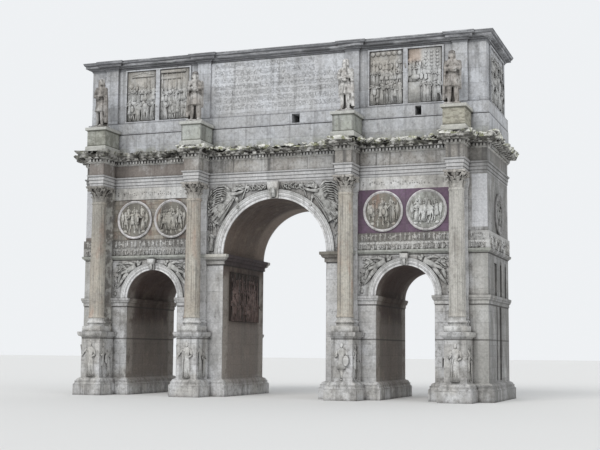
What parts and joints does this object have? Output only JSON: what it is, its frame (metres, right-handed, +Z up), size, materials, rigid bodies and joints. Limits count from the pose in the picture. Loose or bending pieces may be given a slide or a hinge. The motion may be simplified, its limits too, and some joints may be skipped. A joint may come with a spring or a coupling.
{
  "type": "triumphal arch",
  "caption": "Ancient marble triumphal arch with a large central passage, a smaller one each side, free fluted columns, an entablature, a hollow attic and carved panels and statues",
  "frame": {"origin": "middle of the plan at the lowest ground point", "axes": "X along the two long faces, Y through the passages with the pictured face toward -Y, Z up"},
  "size_m": [26.77, 11.09, 21],
  "materials": {
    "marble_body": "weathered white marble, warm grey with dark streaks",
    "attic_ashlar": "weathered pale grey marble ashlar",
    "column_marble": "fluted yellowish marble, weathered",
    "statue_marble": "pale violet-brown marble, weathered",
    "porphyry": "dull purple-brown porphyry slabs",
    "pedestal_marble": "greenish grey marble, weathered"
  },
  "bodies": {
    "root": {"inner_pier_left": "marble_body", "inner_pier_right": "marble_body", "outer_pier_left": "marble_body", "outer_pier_right": "marble_body", "side_arch_left": "marble_body", "side_arch_right": "marble_body", "central_arch": "marble_body", "upper_bay_left": "marble_body", "upper_bay_right": "marble_body", "pilasters": "marble_body", "pedestals": "marble_body", "column_bases": "marble_body", "column_shafts": "column_marble", "capitals": "column_marble", "side_imposts": "marble_body", "central_imposts": "marble_body", "string_courses": "marble_body", "small_friezes": "marble_body", "head_bands": "marble_body", "roundels": "marble_body", "porphyry_veneers": "porphyry", "keystones": "marble_body", "side_archivolts": "marble_body", "central_archivolts": "marble_body", "passage_reliefs": "marble_body", "entablature": "marble_body", "main_cornice": "marble_body", "ressauts": "marble_body", "attic_plinth": "attic_ashlar", "window_course_front": "attic_ashlar", "window_course_rear": "attic_ashlar", "attic_wall_front": "attic_ashlar", "attic_wall_rear": "attic_ashlar", "attic_wall_left": "attic_ashlar", "attic_wall_right": "attic_ashlar", "attic_pilasters": "attic_ashlar", "attic_reliefs": "attic_ashlar", "tablet_slabs": "attic_ashlar", "attic_cornice": "attic_ashlar", "roof_slab": "attic_ashlar", "statue_pedestals": "pedestal_marble", "statues": "statue_marble"}
  },
  "joints": []
}
